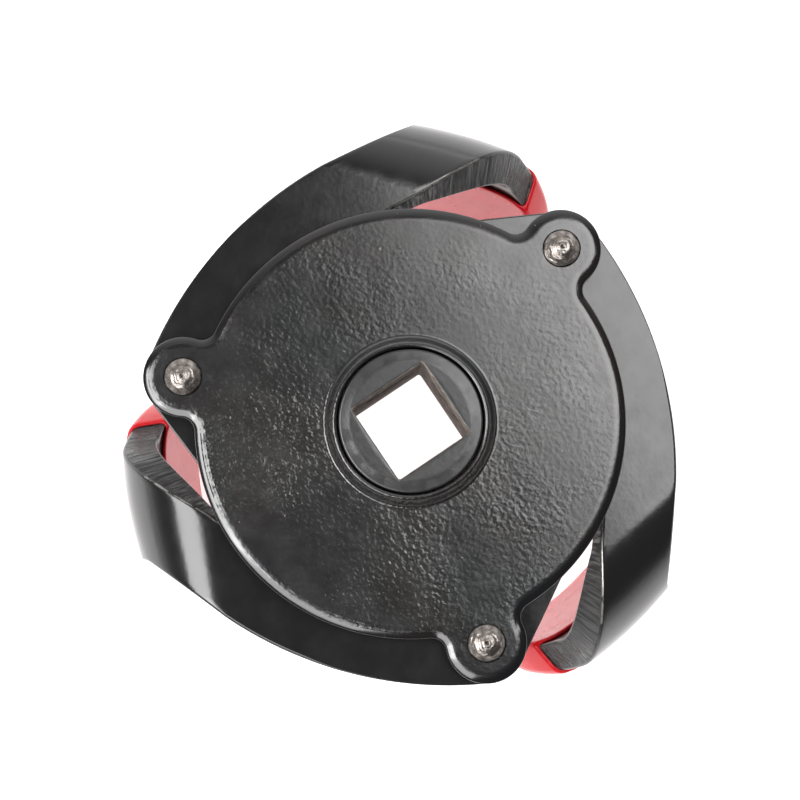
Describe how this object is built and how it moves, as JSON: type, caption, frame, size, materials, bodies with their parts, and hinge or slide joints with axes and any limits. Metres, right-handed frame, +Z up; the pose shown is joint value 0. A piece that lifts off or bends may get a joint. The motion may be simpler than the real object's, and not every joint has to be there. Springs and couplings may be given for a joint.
{
  "type": "oil filter wrench",
  "caption": "Three-jaw oil filter wrench: a gear-driven claw wrench that closes on a filter when its square drive is turned.",
  "frame": {"origin": "centre of the drive gear's top face, on the tool axis", "axes": "+Z up along the tool axis towards the ratchet; X and Y along the sides of the square drive"},
  "size_m": [0.0916, 0.0896, 0.0549],
  "materials": {
    "cover_paint": "gloss black over a cast texture",
    "jaw_paint": "smooth gloss black",
    "gear_steel": "semi-gloss black, worn at the drive square",
    "grip_pvc": "glossy dipped red",
    "rivet_steel": "spun bare steel",
    "sleeve_steel": "turned bare steel"
  },
  "bodies": {
    "housing": {"top_cover": "cover_paint", "bottom_cover": "cover_paint", "pivot_rivet_1": "rivet_steel", "pivot_rivet_2": "rivet_steel", "pivot_rivet_3": "rivet_steel", "pivot_sleeve_1": "sleeve_steel", "pivot_sleeve_2": "sleeve_steel", "pivot_sleeve_3": "sleeve_steel"},
    "drive_gear": {"drive_gear": "gear_steel"},
    "jaw_1": {"jaw_1": "jaw_paint", "jaw_grip_1": "grip_pvc"},
    "jaw_2": {"jaw_2": "jaw_paint", "jaw_grip_2": "grip_pvc"},
    "jaw_3": {"jaw_3": "jaw_paint", "jaw_grip_3": "grip_pvc"}
  },
  "joints": [
    {"name": "drive_gear_turn", "type": "hinge", "parent": "housing", "child": "drive_gear", "pos_m": [0, 0, 0], "axis": [0, 0, 1], "range_deg": [-44, 3.6]},
    {"name": "jaw_1_swing", "type": "hinge", "parent": "housing", "child": "jaw_1", "pos_m": [0.03381, 0.00906, 0], "axis": [0, 0, 1], "range_deg": [-2.7, 33]},
    {"name": "jaw_2_swing", "type": "hinge", "parent": "housing", "child": "jaw_2", "pos_m": [-0.02475, 0.02475, 0], "axis": [0, 0, 1], "range_deg": [-2.7, 33]},
    {"name": "jaw_3_swing", "type": "hinge", "parent": "housing", "child": "jaw_3", "pos_m": [-0.00906, -0.03381, 0], "axis": [0, 0, 1], "range_deg": [-2.7, 33]}
  ],
  "couplings": [
    {"joint": "jaw_1_swing", "follows": "drive_gear_turn", "ratio": -0.75},
    {"joint": "jaw_2_swing", "follows": "drive_gear_turn", "ratio": -0.75},
    {"joint": "jaw_3_swing", "follows": "drive_gear_turn", "ratio": -0.75}
  ]
}
